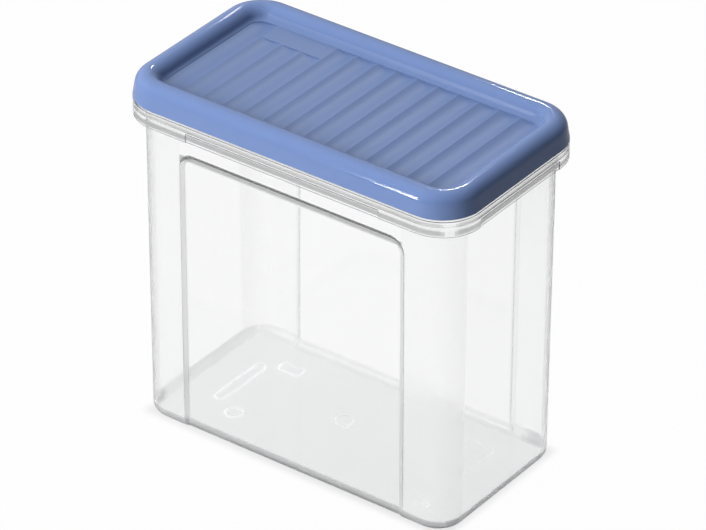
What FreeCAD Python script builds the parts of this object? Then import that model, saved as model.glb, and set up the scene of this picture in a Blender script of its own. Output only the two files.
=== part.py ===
import FreeCAD, Part
import math
import os

# A clear food storage box with a push-on lid that has a fluted top.
# Millimetres. Origin: middle of the base. +X along the length, +Y across, +Z up.

Vec = FreeCAD.Vector

# ---------------------------------------------------------------- sizes
LENGTH = 200.0          # over the lid and the rim
WIDTH = 109.6           # over the lid and the rim
HEIGHT = 193.8          # base to the crest of the lid

WALL = 1.4              # wall of the box
FLOOR = 1.8             # floor of the box
DRAFT = 0.35            # degrees that each wall leans in towards the base
CORNER = 15.4           # outside corner radius, at the top of the walls
BOTTOM_ROUND = 5.0      # outside radius round the base
OVERHANG = 6.1          # how far the rim and the lid stand out past the walls

LID_WALL = 1.5          # wall of the lid
LID_PLAY = 0.1          # gap between the lid's skirt and the rim
LID_SKIRT = 12.4        # crest of the lid to the lower edge of its skirt
LID_LEAN = 1.0          # how far the skirt leans in, up to the raised edge
LID_WELL = 6.4          # crest of the lid to its flat top
LID_SLOPE = 70.0        # steepest slope, in degrees, of the way down to the flat top
PLUG_WALL = 1.2         # lip of the lid that fits inside the mouth
PLUG_PLAY = 0.3         # gap round that lip
PLUG_DEPTH = 15.0       # crest of the lid to the lower edge of the lip
PLUG_TIP = 0.6          # bevel on that edge, which leads the lip into the mouth

FLUTES = 14             # hollows across the lid
FLUTE_DEPTH = 0.9
FLUTE_END = 15.4        # from the end of the lid to the first flute
FLUTE_SIDE = 15.8       # from the side of the lid to the ends of the flutes
FLUTE_CORNER = 7.0      # corner radius of the fluted field
PLATE_FIRST = 1         # flute where the bare plate starts
PLATE_FLUTES = 3        # flutes that the bare plate takes
PLATE_DEEP = 13.0       # how far the plate reaches in from the back

RIM_GAP = 0.3           # between the lid's skirt and the collar under it
COLLAR = 9.4            # height of the collar
GROOVE_DROP = 2.0       # from the top of the collar to the groove round it
GROOVE_DEPTH = 0.5
EDGE_SOFT = 0.4         # small bevels on the edges of the collar and the skirt
GRIP_DEPTH = 0.8        # flat that is let into each side of the collar
GRIP_TOP = 4.6          # from the top of the collar to the flats
GRIP_SIDE = 43.0        # from the end of the rim to the flat on a long side
GRIP_END = 22.8         # from the side of the rim to the flat on a short side

RECESS_DEPTH = 1.8      # panel let into each long side
RECESS_END = 35.0       # from the end of the rim to the panel
RECESS_DROP = 14.0      # from the collar down to the top of the panel
RECESS_CORNER = 6.5     # radius of the panel's upper corners
RECESS_SOFT = 0.5       # half the slope of the panel's upright edges
RECESS_LEDGE = 1.25     # half the slope of the panel's upper edge
RECESS_FOOT = 0.6       # how much the foot thickens behind the panel

CLEAR = 6.0             # how far a cutting tool reaches past what it cuts

# ---------------------------------------------------------------- worked out
HALF_X = LENGTH / 2 - OVERHANG          # outside of the walls at their top
HALF_Y = WIDTH / 2 - OVERHANG
LEAN = math.tan(math.radians(DRAFT))
LID_MID = -WALL                         # middle of the lid's raised edge
LID_ROUND = OVERHANG - LID_LEAN - LID_MID       # and its outside radius
LID_MID_Z = HEIGHT - LID_ROUND
ARCH_OUT = LID_ROUND - LID_WALL - LID_PLAY      # the rim turns out over an arch
ARCH_IN = ARCH_OUT - WALL
ARCH_Z = HEIGHT - LID_WALL - ARCH_OUT   # top of the walls
LEG = LID_MID + ARCH_OUT                # outside of the rim's outer leg
SKIRT_Z = HEIGHT - LID_SKIRT
COLLAR_TOP = SKIRT_Z - RIM_GAP
COLLAR_LOW = COLLAR_TOP - COLLAR
LID_TOP_Z = HEIGHT - LID_WELL


# ---------------------------------------------------------------- shapes
def outline(half_x, half_y, radius, z):
    """Rounded rectangle about the Z axis, as a wire."""
    cut = radius * (1 - math.sqrt(0.5))
    x, y, r = half_x, half_y, radius
    edges = []
    for sx, sy in ((1, 1), (-1, 1), (-1, -1), (1, -1)):
        on_end = Vec(sx * x, sy * (y - r), z)
        on_side = Vec(sx * (x - r), sy * y, z)
        mid = Vec(sx * (x - cut), sy * (y - cut), z)
        first, last = (on_end, on_side) if sx * sy > 0 else (on_side, on_end)
        edges.append((first, mid, last))
    wire = []
    for i, (first, mid, last) in enumerate(edges):
        wire.append(Part.Arc(first, mid, last).toShape())
        wire.append(Part.LineSegment(last, edges[(i + 1) % 4][0]).toShape())
    return Part.Wire(wire)


def plate(half_x, half_y, radius, low, high):
    """Upright block with rounded corners."""
    face = Part.Face(outline(half_x, half_y, radius, low))
    return face.extrude(Vec(0, 0, high - low))


def ring(points):
    """Carries a profile round the rim. A point is (out, z), where out is measured
    from the outside of the walls at their top; a third value makes it the middle
    of an arc from the point before to the point after."""
    edges = []
    spots = [(p, Vec(CORNER + p[0], 0, p[1])) for p in points]
    spots.append(spots[0])
    i = 0
    while i < len(spots) - 1:
        if len(spots[i + 1][0]) == 3:
            edges.append(Part.Arc(spots[i][1], spots[i + 1][1], spots[i + 2][1]).toShape())
            i += 2
        else:
            edges.append(Part.LineSegment(spots[i][1], spots[i + 1][1]).toShape())
            i += 1
    face = Part.Face(Part.Wire(edges))
    corner = face.revolve(Vec(0, 0, 0), Vec(0, 0, 1), 90)
    run_x = HALF_X - CORNER
    run_y = HALF_Y - CORNER
    pieces = []
    for turn, cx, cy in ((0, 1, 1), (90, -1, 1), (180, -1, -1), (270, 1, -1)):
        sector = corner.copy()
        sector.rotate(Vec(0, 0, 0), Vec(0, 0, 1), turn)
        sector.translate(Vec(cx * run_x, cy * run_y, 0))
        pieces.append(sector)
        side = face.copy()
        side.rotate(Vec(0, 0, 0), Vec(0, 0, 1), turn)
        side.translate(Vec(cx * run_x, cy * run_y, 0))
        along = {0: Vec(0, -2 * run_y, 0), 90: Vec(2 * run_x, 0, 0),
                 180: Vec(0, 2 * run_y, 0), 270: Vec(-2 * run_x, 0, 0)}[turn]
        pieces.append(side.extrude(along))
    return pieces[0].multiFuse(pieces[1:]).removeSplitter()


def bend(mid_out, mid_z, radius, start, end, chords=0):
    """Part of a profile that turns about a middle from one angle to another, counted
    from straight out: a true arc, or chords where it is hidden."""
    spots = []
    steps = chords or 2
    for i in range(steps + 1):
        a = math.radians(start + (end - start) * i / steps)
        spots.append((mid_out + radius * math.cos(a), mid_z + radius * math.sin(a)))
    if not chords:
        spots[1] = spots[1] + (True,)
    return spots


def tapered(inset, low, foot_round, chords):
    """Inside or outside of the walls as a solid: it leans in towards the base, and its
    foot is round."""
    core_out = -CORNER / 2 - BOTTOM_ROUND
    foot_out = -inset - LEAN * (ARCH_Z - low - foot_round) - foot_round
    skin = ring([(core_out, low)]
                + bend(foot_out, low + foot_round, foot_round, 270, 360, chords)
                + [(-inset, ARCH_Z), (core_out, ARCH_Z)])
    core = plate(HALF_X + core_out, HALF_Y + core_out, CORNER + core_out, low, ARCH_Z)
    return skin.fuse(core).removeSplitter()


def recess(thick):
    """Tool that lets the panel into the front wall. With thick it stands that much
    proud on every side, and so leaves the wall behind the panel."""
    half = LENGTH / 2 - RECESS_END
    top = COLLAR_LOW - RECESS_DROP
    low = -CLEAR
    wires = []
    # The slope into the panel starts and ends gently.
    for depth, grow in ((-CLEAR - thick, 1), (0, 1), (0.2 * RECESS_DEPTH, 0.5),
                        (0.8 * RECESS_DEPTH, -0.5), (RECESS_DEPTH, -1)):
        y = -HALF_Y + depth + thick
        x = half + grow * RECESS_SOFT + thick
        z = top + grow * RECESS_LEDGE + thick
        r = RECESS_CORNER + grow * RECESS_SOFT + thick
        cut = r * (1 - math.sqrt(0.5))
        left_low, left_high = Vec(-x, y, low), Vec(-x, y, z - r)
        left_top, right_top = Vec(-x + r, y, z), Vec(x - r, y, z)
        right_high, right_low = Vec(x, y, z - r), Vec(x, y, low)
        wires.append(Part.Wire([
            Part.LineSegment(left_low, left_high).toShape(),
            Part.Arc(left_high, Vec(-x + cut, y, z - cut), left_top).toShape(),
            Part.LineSegment(left_top, right_top).toShape(),
            Part.Arc(right_top, Vec(x - cut, y, z - cut), right_high).toShape(),
            Part.LineSegment(right_high, right_low).toShape(),
            Part.LineSegment(right_low, left_low).toShape()]))
    tool = Part.makeLoft(wires, True, True)
    tool.rotate(Vec(0, -HALF_Y, ARCH_Z), Vec(1, 0, 0), DRAFT)
    return tool


def foot_tool(low, radius, thick):
    """Rounds the lower edge of the recessed panel."""
    half = LENGTH / 2 - RECESS_END + RECESS_SOFT + thick
    y = -HALF_Y + LEAN * (ARCH_Z - low) + RECESS_DEPTH + thick
    block = Part.makeBox(2 * half, radius + CLEAR, radius + CLEAR,
                         Vec(-half, y - CLEAR, low - CLEAR))
    rod = Part.makeCylinder(radius, 2 * half, Vec(-half, y + radius, low + radius), Vec(1, 0, 0))
    return block.cut(rod)


def both_sides(tool):
    """The tool for the front wall and its copy for the back wall."""
    back = tool.copy()
    back.rotate(Vec(0, 0, 0), Vec(0, 0, 1), 180)
    return [tool, back]


# ---------------------------------------------------------------- box
outside = tapered(0, 0, BOTTOM_ROUND, 0)
outside = outside.cut(both_sides(recess(0)))
recess_foot = BOTTOM_ROUND - RECESS_DEPTH
outside = outside.cut(both_sides(foot_tool(0, recess_foot, 0)))

inner_foot = recess_foot - WALL + RECESS_FOOT
inside = tapered(WALL, FLOOR, BOTTOM_ROUND - WALL, 3)
inside = inside.cut(both_sides(recess(WALL)))
inside = inside.cut(both_sides(foot_tool(FLOOR, inner_foot, WALL)))

# The rim: the wall's top turns out over an arch, down its outer leg and out to the
# collar that shows under the lid, with a groove round it.
groove_out = OVERHANG - GROOVE_DEPTH
groove_top = COLLAR_TOP - GROOVE_DROP
arch_end = math.degrees(math.acos(WALL / ARCH_IN))
rim = ring(
    [(-WALL, ARCH_Z)]
    + bend(LID_MID, ARCH_Z, ARCH_OUT, 90, 0, 4)
    + [(LEG, COLLAR_TOP),
       (OVERHANG - EDGE_SOFT, COLLAR_TOP),
       (OVERHANG, COLLAR_TOP - EDGE_SOFT),
       (OVERHANG, groove_top),
       (groove_out, groove_top - EDGE_SOFT),
       (groove_out, groove_top - 3 * EDGE_SOFT),
       (OVERHANG, groove_top - 4 * EDGE_SOFT),
       (OVERHANG, COLLAR_LOW + EDGE_SOFT),
       (OVERHANG - EDGE_SOFT, COLLAR_LOW),
       (OVERHANG - WALL, COLLAR_LOW),
       (OVERHANG - WALL, COLLAR_TOP - WALL),
       (LEG - WALL, COLLAR_TOP)]
    + bend(LID_MID, ARCH_Z, ARCH_IN, 0, arch_end, 3)
    + [(0, ARCH_Z)])

# Flats in the collar, where fingers push the lid off. They stop before the corners.
flats = []
flat_high = COLLAR - GRIP_TOP + CLEAR
for half_long, out in ((LENGTH / 2 - GRIP_SIDE, WIDTH / 2), (WIDTH / 2 - GRIP_END, LENGTH / 2)):
    for side in (1, -1):
        flat = Part.makeBox(2 * half_long, GRIP_DEPTH + CLEAR, flat_high,
                            Vec(-half_long, out - GRIP_DEPTH, COLLAR_LOW - CLEAR))
        quarter = 1 if out == LENGTH / 2 else 0
        half_turn = 0 if side > 0 else 2
        flat.rotate(Vec(0, 0, 0), Vec(0, 0, 1), 90 * (quarter + half_turn))
        flats.append(flat)
rim = rim.cut(flats)

box = outside.cut(inside).fuse(rim).removeSplitter()

# ---------------------------------------------------------------- lid
# One moulded shell: skirt, raised edge, slope down to the flat top, and the lip
# that plugs the mouth.
hollow_round = LID_WELL / (1 - math.cos(math.radians(LID_SLOPE))) - LID_ROUND
reach = LID_ROUND + hollow_round
hollow_out = LID_MID - reach * math.sin(math.radians(LID_SLOPE))
hollow_z = LID_TOP_Z + hollow_round
under_round = hollow_round + LID_WALL
inner_round = LID_ROUND - LID_WALL
bevel = inner_round * math.tan(math.radians(22.5))
core_out = hollow_out - LID_WALL
under_z = LID_TOP_Z - LID_WALL

# The leaning skirt runs into the raised edge without a kink.
drop_x = OVERHANG - LID_MID
drop_z = SKIRT_Z + EDGE_SOFT - LID_MID_Z
lean_turn = math.degrees(math.atan2(drop_z, drop_x)
                         + math.acos(LID_ROUND / math.hypot(drop_x, drop_z)))

shell = ring(
    [(OVERHANG, SKIRT_Z + EDGE_SOFT)]
    + bend(LID_MID, LID_MID_Z, LID_ROUND, lean_turn, 90 + LID_SLOPE)
    + bend(hollow_out, hollow_z, hollow_round, LID_SLOPE - 90, -90)[1:]
    + [(core_out, LID_TOP_Z), (core_out, under_z)]
    + bend(hollow_out, hollow_z, under_round, -90, LID_SLOPE - 90, 2)
    + [(LID_MID - inner_round * math.tan(math.radians(LID_SLOPE / 2)), LID_MID_Z + inner_round),
       (LID_MID + bevel, LID_MID_Z + inner_round),
       (LID_MID + inner_round, LID_MID_Z + bevel),
       (LID_MID + inner_round, LID_MID_Z)]
    + [(OVERHANG - LID_WALL, SKIRT_Z), (OVERHANG - EDGE_SOFT, SKIRT_Z)])


def shell_middle(out):
    """Height of the middle of the lid's shell, at its raised edge."""
    radius = LID_ROUND - LID_WALL / 2
    return LID_MID_Z + math.sqrt(radius ** 2 - (out - LID_MID) ** 2)


plug_low = HEIGHT - PLUG_DEPTH
plug_out = -WALL - PLUG_PLAY
plug_in = plug_out - PLUG_WALL
lean_low = LEAN * (ARCH_Z - plug_low)
plug = ring([
    (plug_out, shell_middle(plug_out)),
    (plug_out - lean_low, plug_low + PLUG_TIP),
    (plug_out - lean_low - PLUG_TIP, plug_low),
    (plug_in - lean_low, plug_low),
    (plug_in, shell_middle(plug_in)),
])

core = plate(HALF_X + core_out, HALF_Y + core_out, CORNER + core_out, under_z, LID_TOP_Z)

# The flutes are hollows with sharp crests between them. The shell keeps its wall,
# so each one shows on the underside as a round rib.
field_x = LENGTH / 2 - FLUTE_END
field_y = WIDTH / 2 - FLUTE_SIDE
pitch = 2 * field_x / FLUTES
flute_round = ((pitch / 2) ** 2 + FLUTE_DEPTH ** 2) / (2 * FLUTE_DEPTH)
flute_z = LID_TOP_Z + flute_round - FLUTE_DEPTH
hollows = []
ribs = []
for i in range(FLUTES):
    x = -field_x + (i + 0.5) * pitch
    start = Vec(x, -field_y, flute_z)
    hollows.append(Part.makeCylinder(flute_round, 2 * field_y, start, Vec(0, 1, 0)))
    rod = Part.makeCylinder(flute_round + LID_WALL, 2 * field_y, start, Vec(0, 1, 0))
    strip = Part.makeBox(pitch, 2 * field_y, CLEAR,
                         Vec(x - pitch / 2, -field_y, LID_TOP_Z - LID_WALL / 2 - CLEAR))
    ribs.append(rod.common(strip))

field = plate(field_x, field_y, FLUTE_CORNER, LID_TOP_Z - CLEAR, LID_TOP_Z + CLEAR)
plate_x = -field_x + PLATE_FIRST * pitch
bare = Part.makeBox(PLATE_FLUTES * pitch, PLATE_DEEP, 2 * CLEAR,
                    Vec(plate_x, field_y - PLATE_DEEP, LID_TOP_Z - CLEAR))
hollow = hollows[0].multiFuse(hollows[1:]).common(field).cut(bare)
rib = ribs[0].multiFuse(ribs[1:]).common(field)

lid = shell.multiFuse([plug, core, rib]).cut(hollow).removeSplitter()

# ---------------------------------------------------------------- files
os.makedirs("parts", exist_ok=True)
for name, shape in (("box", box), ("lid", lid)):
    print(name, "solids", len(shape.Solids), "valid", shape.isValid(), "volume", round(shape.Volume))
    shape.exportStep("parts/" + name + ".step")
print("overlap of box and lid", round(box.common(lid).Volume, 3))
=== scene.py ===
import bpy
import math
from mathutils import Matrix, Vector


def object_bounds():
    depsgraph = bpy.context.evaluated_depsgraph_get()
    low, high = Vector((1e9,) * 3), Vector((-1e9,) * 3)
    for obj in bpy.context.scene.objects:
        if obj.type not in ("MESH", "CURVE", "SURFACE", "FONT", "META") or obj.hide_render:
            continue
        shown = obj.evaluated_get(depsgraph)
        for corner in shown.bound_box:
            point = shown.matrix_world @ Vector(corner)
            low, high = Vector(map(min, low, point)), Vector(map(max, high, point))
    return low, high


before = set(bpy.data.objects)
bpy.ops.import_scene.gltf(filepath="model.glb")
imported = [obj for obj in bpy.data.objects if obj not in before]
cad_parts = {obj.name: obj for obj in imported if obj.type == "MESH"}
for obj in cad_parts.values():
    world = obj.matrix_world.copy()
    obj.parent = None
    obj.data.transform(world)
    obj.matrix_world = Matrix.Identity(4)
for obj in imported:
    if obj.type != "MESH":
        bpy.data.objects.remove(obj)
cad_low, cad_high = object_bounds()


# ---------------------------------------------------------------- box
# The open-topped box, moulded in one piece from clear polypropylene. Its panels and ends
# are polished, its corner columns are slightly milky, and shallow moulded marks lie in
# its floor.
def add(tree, kind, inputs=None, **settings):
    """Adds a node, sets its options, and sets or links its inputs."""
    item = tree.nodes.new("ShaderNode" + kind)
    for name, value in settings.items():
        setattr(item, name, value)
    for key, value in (inputs or {}).items():
        if isinstance(value, bpy.types.NodeSocket):
            tree.links.new(value, item.inputs[key])
        else:
            item.inputs[key].default_value = value
    return item


def sums(tree, operation, *values):
    """One step of arithmetic on numbers or sockets."""
    return add(tree, "Math", dict(enumerate(values)), operation=operation).outputs[0]


def ramp(tree, value, start, end):
    """Mask that goes smoothly from 0 at start to 1 at end."""
    return add(tree, "MapRange", {"Value": value, "From Min": start, "From Max": end},
               interpolation_type="SMOOTHSTEP").outputs["Result"]


def both(tree, first, *others):
    """Mask that holds where all the given ones do."""
    for other in others:
        first = sums(tree, "MULTIPLY", first, other)
    return first


def either(tree, first, *others):
    """Mask that holds where at least one of the given ones does."""
    for other in others:
        first = sums(tree, "MAXIMUM", first, other)
    return first


def coordinates(tree):
    """The place on the piece, its three numbers, and how far out it is along X and Y."""
    place = add(tree, "TexCoord").outputs["Object"]
    spot = add(tree, "SeparateXYZ", {"Vector": place}).outputs
    return place, spot, sums(tree, "ABSOLUTE", spot["X"]), sums(tree, "ABSOLUTE", spot["Y"])


def new_material(name):
    """Material with an empty node tree."""
    material = bpy.data.materials.new(name)
    material.use_nodes = True
    material.node_tree.nodes.clear()
    return material, material.node_tree


def new_group(name, sockets_in, sockets_out):
    """Empty node group with named sockets; each is (name, kind, value)."""
    tree = bpy.data.node_groups.new(name, "ShaderNodeTree")
    for label, kind, value in sockets_in:
        socket = tree.interface.new_socket(name=label, in_out="INPUT",
                                           socket_type="NodeSocket" + kind)
        if value is not None:
            socket.default_value = value
    for label, kind in sockets_out:
        tree.interface.new_socket(name=label, in_out="OUTPUT", socket_type="NodeSocket" + kind)
    given = tree.nodes.new("NodeGroupInput").outputs
    return tree, given, tree.nodes.new("NodeGroupOutput").inputs


# Moulded plastic is never quite flat: a soft wave and a fine grain bend its normals.
moulded, given, taken = new_group(
    "moulded_surface",
    [("Position", "Vector", None), ("Wave", "Float", 0.1), ("Grain", "Float", 0.02)],
    [("Normal", "Vector"), ("Cloud", "Float")])
wave = add(moulded, "TexNoise", {"Vector": given["Position"], "Scale": 24.0, "Detail": 2.0})
grain = add(moulded, "TexNoise", {"Vector": given["Position"], "Scale": 900.0, "Detail": 3.0})
wave_bump = add(moulded, "Bump", {"Strength": given["Wave"], "Distance": 0.002,
                                  "Height": wave.outputs["Fac"]})
grain_bump = add(moulded, "Bump", {"Strength": given["Grain"], "Distance": 0.0003,
                                   "Height": grain.outputs["Fac"],
                                   "Normal": wave_bump.outputs["Normal"]})
moulded.links.new(grain_bump.outputs["Normal"], taken["Normal"])
moulded.links.new(wave.outputs["Fac"], taken["Cloud"])

# Outline of a slot with rounded corners, drawn as a line round a middle.
slot_line, given, taken = new_group(
    "slot_line",
    [("X", "Float", 0.0), ("Y", "Float", 0.0), ("Middle X", "Float", 0.0),
     ("Middle Y", "Float", 0.0), ("Half X", "Float", 0.01), ("Half Y", "Float", 0.01),
     ("Corner", "Float", 0.003), ("Line", "Float", 0.0004)],
    [("Mask", "Float")])
past = []
for axis in ("X", "Y"):
    offset = sums(slot_line, "SUBTRACT", given[axis], given["Middle " + axis])
    straight = sums(slot_line, "SUBTRACT", given["Half " + axis], given["Corner"])
    beyond = sums(slot_line, "SUBTRACT", sums(slot_line, "ABSOLUTE", offset), straight)
    past.append(sums(slot_line, "MAXIMUM", beyond, 0.0))
squares = [sums(slot_line, "MULTIPLY", reach, reach) for reach in past]
far = sums(slot_line, "SQRT", sums(slot_line, "ADD", *squares))
from_line = sums(slot_line, "ABSOLUTE", sums(slot_line, "SUBTRACT", far, given["Corner"]))
near = sums(slot_line, "DIVIDE", from_line, given["Line"])
slot_line.links.new(ramp(slot_line, near, 1.5, 0.5), taken["Mask"])


def outline(tree, across, up, middle, half, corner, line):
    """Mask of one slot's outline on a surface."""
    return add(tree, "Group", {
        "X": across, "Y": up, "Middle X": middle[0], "Middle Y": middle[1],
        "Half X": half[0], "Half Y": half[1], "Corner": corner, "Line": line},
        node_tree=slot_line).outputs["Mask"]


clear, tree = new_material("clear_plastic")
place, spot, end_x, side_y = coordinates(tree)

# The four corner columns are milky from just above the floor to under the rim.
column_from_x, column_from_y = (0.0648, 0.0660), (0.0325, 0.0345)
column_from_z, column_to_z = (0.004, 0.008), (0.1722, 0.1716)
milky = both(tree, ramp(tree, end_x, *column_from_x), ramp(tree, side_y, *column_from_y),
             ramp(tree, spot["Z"], *column_to_z), ramp(tree, spot["Z"], *column_from_z))

# Bare moulded marks in the floor: a long slot, two plates, two rings and a short dash.
floor_top = (0.0024, 0.0019)
mark_line = 0.0004
marks = either(tree, *(outline(tree, spot["X"], spot["Y"], middle, half, corner, mark_line)
                       for middle, half, corner in (
    ((-0.068, 0.001), (0.003, 0.019), 0.003),
    ((-0.054, 0.025), (0.0065, 0.0035), 0.001),
    ((-0.0535, -0.023), (0.0045, 0.0045), 0.0045),
    ((-0.0055, 0.004), (0.00475, 0.00475), 0.00475),
    ((0.061, 0.0135), (0.0075, 0.0135), 0.001),
    ((0.068, -0.031), (0.004, 0.0012), 0.0004))))
marks = both(tree, marks, ramp(tree, spot["Z"], *floor_top))

# The slope into each panel's upper edge and the step round the panel are painted grey as lines of
# shade; those of the back wall are painted fainter.
panel_wall = (0.0440, 0.0445)
ledge_from_z, ledge_to_z, ledge_to_x = (0.1548, 0.1560), (0.1592, 0.1588), (0.0662, 0.0655)
back_wall = (0.0, 0.01)
ledge = both(tree, ramp(tree, spot["Z"], *ledge_from_z), ramp(tree, spot["Z"], *ledge_to_z),
             ramp(tree, side_y, *panel_wall), ramp(tree, end_x, *ledge_to_x))
step_in = both(tree, outline(tree, spot["X"], spot["Z"], (0.0, 0.0783), (0.0650, 0.0794),
                             corner=0.0065, line=0.0007),
               ramp(tree, side_y, *panel_wall))
fainter = sums(tree, "MULTIPLY_ADD", ramp(tree, spot["Y"], *back_wall), -0.75, 1.0)
panel_edge_painted_shade = both(tree, either(tree, both(tree, step_in, 0.8), ledge), fainter)

# A painted grey band of shade, with thicker haze, lies on the rounded foot, strongest at the
# front and the right-hand end.
foot_from_y, foot_from_x, foot_to_z = (0.0420, 0.0430), (0.0878, 0.0888), (0.0066, 0.0050)
front_side, right_end = (-0.028, -0.036), (0.070, 0.080)
foot_painted_shade = both(tree, either(tree, ramp(tree, side_y, *foot_from_y), ramp(tree, end_x, *foot_from_x)),
            ramp(tree, spot["Z"], *foot_to_z))
near_side = either(tree, ramp(tree, spot["Y"], *front_side), ramp(tree, spot["X"], *right_end))
foot_painted_shade = both(tree, foot_painted_shade, sums(tree, "MULTIPLY_ADD", near_side, 0.65, 0.35))

# The collar stands clear of the wall; painted shade darkens its groove and lower edge, and
# faintly the whole collar.
collar_from_x, collar_from_y = (0.0950, 0.0955), (0.0498, 0.0503)
groove_from_z, groove_to_z = (0.1773, 0.1777), (0.1793, 0.1789)
hem_from_z, hem_to_z = (0.1726, 0.1732), (0.1758, 0.1750)
collar = either(tree, ramp(tree, end_x, *collar_from_x), ramp(tree, side_y, *collar_from_y))
groove = both(tree, ramp(tree, spot["Z"], *groove_from_z), ramp(tree, spot["Z"], *groove_to_z))
hem = both(tree, ramp(tree, spot["Z"], *hem_from_z), ramp(tree, spot["Z"], *hem_to_z))
collar_painted_shade = both(tree, either(tree, both(tree, groove, 0.7), hem, 0.12), collar)

# Clear plastic with a little haze, which is thicker in the columns, marks and foot; its colour
# turns grey where the painted shade of the panel edges, foot and collar lies.
edge = either(tree, panel_edge_painted_shade, foot_painted_shade, collar_painted_shade)
tint_and_painted_shade = add(tree, "MixRGB", {0: edge, 1: (0.996, 0.995, 0.993, 1.0),
                            2: (0.62, 0.62, 0.62, 1.0)}).outputs[0]
rough = sums(tree, "MULTIPLY_ADD", milky, 0.16, 0.05)
rough = sums(tree, "MULTIPLY_ADD", edge, 0.35, rough)
skin = add(tree, "Group", {"Position": place, "Wave": 0.02, "Grain": 0.01}, node_tree=moulded)
mark_bump = add(tree, "Bump", {"Strength": 0.25, "Distance": 0.0003, "Height": marks,
                               "Normal": skin.outputs["Normal"]})
plastic = add(tree, "BsdfPrincipled", {
    "Base Color": tint_and_painted_shade, "Roughness": rough, "IOR": 1.36,
    "Transmission Weight": 1.0, "Normal": mark_bump.outputs["Normal"]})
cloud = add(tree, "BsdfDiffuse", {"Color": tint_and_painted_shade})
cloud_through = add(tree, "BsdfTranslucent", {"Color": tint_and_painted_shade})
haze = add(tree, "MixShader", {0: 0.5, 1: cloud.outputs[0], 2: cloud_through.outputs[0]})
haze_share = sums(tree, "ADD", sums(tree, "MULTIPLY_ADD", milky, 0.05, 0.01),
                  both(tree, marks, 0.75))
haze_share = either(tree, haze_share, both(tree, foot_painted_shade, 0.55))
surface = add(tree, "MixShader", {0: haze_share, 1: plastic.outputs[0], 2: haze.outputs[0]})
absorb = add(tree, "VolumeAbsorption", {"Color": (0.90, 0.91, 0.92, 1.0), "Density": 120.0})
# Light passes the clear wall, so its shade on the things behind it is faint.
passing = add(tree, "BsdfTransparent", {"Color": (0.95, 0.953, 0.957, 1.0)})
shown = add(tree, "MixShader", {0: add(tree, "LightPath").outputs["Is Shadow Ray"],
                                1: surface.outputs[0], 2: passing.outputs[0]})
add(tree, "OutputMaterial", {"Surface": shown.outputs[0], "Volume": absorb.outputs[0]})
box_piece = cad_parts["box"]
box_piece.data.materials[0] = clear

# ---------------------------------------------------------------- lid
# The push-on lid, moulded in one piece from blue plastic. Its raised edge and skirt are glossy,
# and the fluted field has a fine satin grain; the field's darker, greyer colour is painted shade.
blue, tree = new_material("blue_plastic")
place, spot, end_x, side_y = coordinates(tree)
field_to_x, field_to_y = (0.0910, 0.0830), (0.0460, 0.0385)
field = both(tree, ramp(tree, end_x, *field_to_x), ramp(tree, side_y, *field_to_y))
skin = add(tree, "Group", {"Position": place, "Wave": 0.03,
                           "Grain": sums(tree, "MULTIPLY_ADD", field, 0.10, 0.03)},
           node_tree=moulded)
uneven = sums(tree, "MULTIPLY_ADD", skin.outputs["Cloud"], 0.04, -0.02)
# Painted shade: the fluted field takes a darker, greyer copy of the blue; the cloud adds a random
# uneven tone.
shade = add(tree, "MixRGB", {0: sums(tree, "ADD", both(tree, field, 0.5), uneven),
                             1: (0.130, 0.198, 0.395, 1.0), 2: (0.102, 0.152, 0.285, 1.0)})
rough = sums(tree, "ADD", sums(tree, "MULTIPLY_ADD", field, 0.32, 0.08), uneven)
plastic = add(tree, "BsdfPrincipled", {
    "Base Color": shade.outputs[0], "Roughness": rough, "IOR": 1.5,
    "Specular IOR Level": 0.4,
    "Subsurface Weight": 0.15, "Subsurface Scale": 0.002,
    "Subsurface Radius": (0.5, 0.7, 1.0),
    "Normal": skin.outputs["Normal"]})
add(tree, "OutputMaterial", {"Surface": plastic.outputs[0]})
lid_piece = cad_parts["lid"]
lid_piece.data.materials[0] = blue

# ---------------------------------------------------------------- floor
# A wide sheet of plain white paper just below the foot. It looks white by itself and still takes
# the soft shadow that the box casts on it; under the box its glow is turned down as painted
# shade.
floor_reach = 6.0
floor_gap = 0.0002
floor_mesh = bpy.data.meshes.new("floor")
floor_mesh.from_pydata([(-floor_reach, -floor_reach, 0), (floor_reach, -floor_reach, 0),
                        (floor_reach, floor_reach, 0), (-floor_reach, floor_reach, 0)],
                       [], [(0, 1, 2, 3)])
floor = bpy.data.objects.new("floor", floor_mesh)
bpy.context.scene.collection.objects.link(floor)
floor.location.z = cad_low[2] - floor_gap
paper, tree = new_material("white_paper")
place, spot, end_x, side_y = coordinates(tree)
fibres = add(tree, "TexNoise", {"Vector": place, "Scale": 60.0, "Detail": 4.0})
paper_tone = add(tree, "MixRGB", {0: fibres.outputs["Fac"], 1: (0.36, 0.36, 0.36, 1.0),
                                  2: (0.40, 0.40, 0.40, 1.0)})
# Painted shade under the box: the paper's glow is lowered over the box's footprint.
under_to_x, under_to_y = (0.096, 0.088), (0.051, 0.043)
painted_shade_under_box = both(tree, ramp(tree, end_x, *under_to_x), ramp(tree, side_y, *under_to_y))
matt = add(tree, "BsdfDiffuse", {"Color": paper_tone.outputs[0]})
glow = add(tree, "Emission", {"Color": (1.0, 1.0, 1.0, 1.0), "Strength": 1.0})
ray = add(tree, "LightPath").outputs
seen = either(tree, ray["Is Camera Ray"], ray["Is Transmission Ray"])
glow_share = sums(tree, "MULTIPLY_ADD", ray["Is Glossy Ray"], 0.12, both(tree, seen, 0.98))
glow_share = both(tree, glow_share, sums(tree, "MULTIPLY_ADD", painted_shade_under_box, -0.31, 1.0))
mixed = add(tree, "MixShader", {0: glow_share, 1: matt.outputs[0], 2: glow.outputs[0]})
add(tree, "OutputMaterial", {"Surface": mixed.outputs[0]})
floor.data.materials.append(paper)

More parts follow.
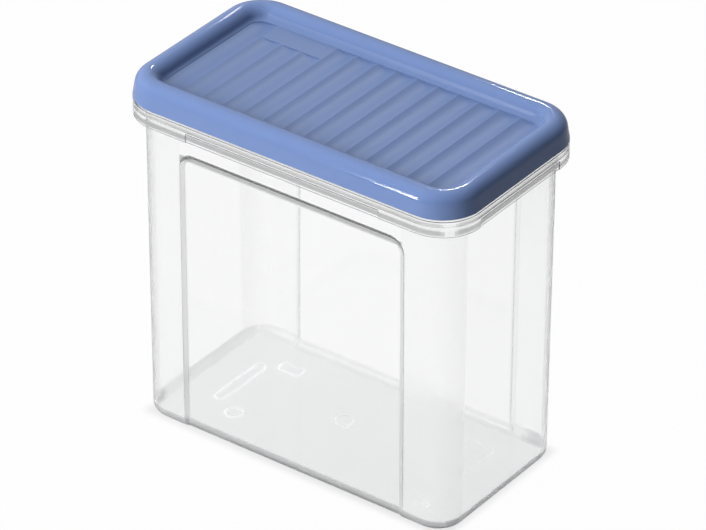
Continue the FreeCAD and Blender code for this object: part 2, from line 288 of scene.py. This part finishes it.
# ---------------------------------------------------------------- light
# A white surround that is brightest behind and to the left, one wide soft lamp in front
# on the left and a weaker one overhead; the right-hand end stays in shade. Three narrow
# lamps draw the bright lines on the lid's edge.
world = bpy.data.worlds.new("studio")
bpy.context.scene.world = world
world.use_nodes = True
tree = world.node_tree
tree.nodes.clear()
bright_side = (-0.75, 0.35, 0.56)
toward = add(tree, "TexCoord").outputs["Generated"]
aim = add(tree, "VectorMath", {0: toward, 1: bright_side}, operation="DOT_PRODUCT")
lit = add(tree, "MapRange", {"Value": aim.outputs["Value"], "From Min": -0.6, "From Max": 0.9})
lit = sums(tree, "POWER", lit.outputs["Result"], 2.0)
room = add(tree, "Background", {"Color": (1.0, 1.0, 1.0, 1.0),
                                "Strength": sums(tree, "MULTIPLY_ADD", lit, 0.62, 0.08)})
white = add(tree, "Background", {"Color": (1.0, 1.0, 1.0, 1.0), "Strength": 1.0})
ray = add(tree, "LightPath").outputs
seen = either(tree, ray["Is Camera Ray"], ray["Is Transmission Ray"])
mixed = add(tree, "MixShader", {0: seen, 1: room.outputs[0], 2: white.outputs[0]})
add(tree, "OutputWorld", {"Surface": mixed.outputs[0]})

lit_point = Vector((0, 0, 0.1))
for name, place, size, watts, mirrored in (
        ("key", (-0.45, -1.6, 0.95), (0.8, 0.8), 37, False),
        ("top", (-0.6, 0.2, 1.7), (0.9, 0.9), 13, False),
        ("glint_wide", (-0.529, -1.10, 0.40), (0.021, 0.22), 1.8, True),
        ("glint_thin", (-0.555, -1.08, 0.62), (0.024, 0.04), 0.35, True),
        ("glint_back", (-0.513, 0.83, 0.90), (0.036, 0.06), 0.7, True)):
    light = bpy.data.lights.new(name, "AREA")
    light.shape = "RECTANGLE"
    light.size, light.size_y = size
    light.energy = watts
    lamp = bpy.data.objects.new(name, light)
    bpy.context.scene.collection.objects.link(lamp)
    lamp.location = place
    lamp.rotation_euler = (lit_point - Vector(place)).to_track_quat("-Z", "Y").to_euler()
    lamp.visible_transmission = False
    lamp.visible_glossy = mirrored

# ---------------------------------------------------------------- camera
# A long lens from the front right, looking down on the lid.
azimuth = math.radians(36.435)
elevation = math.radians(32.51)
roll = math.radians(0.196)
camera_data = bpy.data.cameras.new("camera")
camera_data.lens = 280.45
camera_data.sensor_width = 36
camera = bpy.data.objects.new("camera", camera_data)
bpy.context.scene.collection.objects.link(camera)
camera.location = (1.3385, -1.8102, 1.5315)
turn = (Matrix.Rotation(azimuth, 3, "Z") @ Matrix.Rotation(math.pi / 2 - elevation, 3, "X")
        @ Matrix.Rotation(roll, 3, "Z"))
camera.rotation_euler = turn.to_euler()
bpy.context.scene.camera = camera
bpy.context.scene.view_settings.view_transform = "Standard"
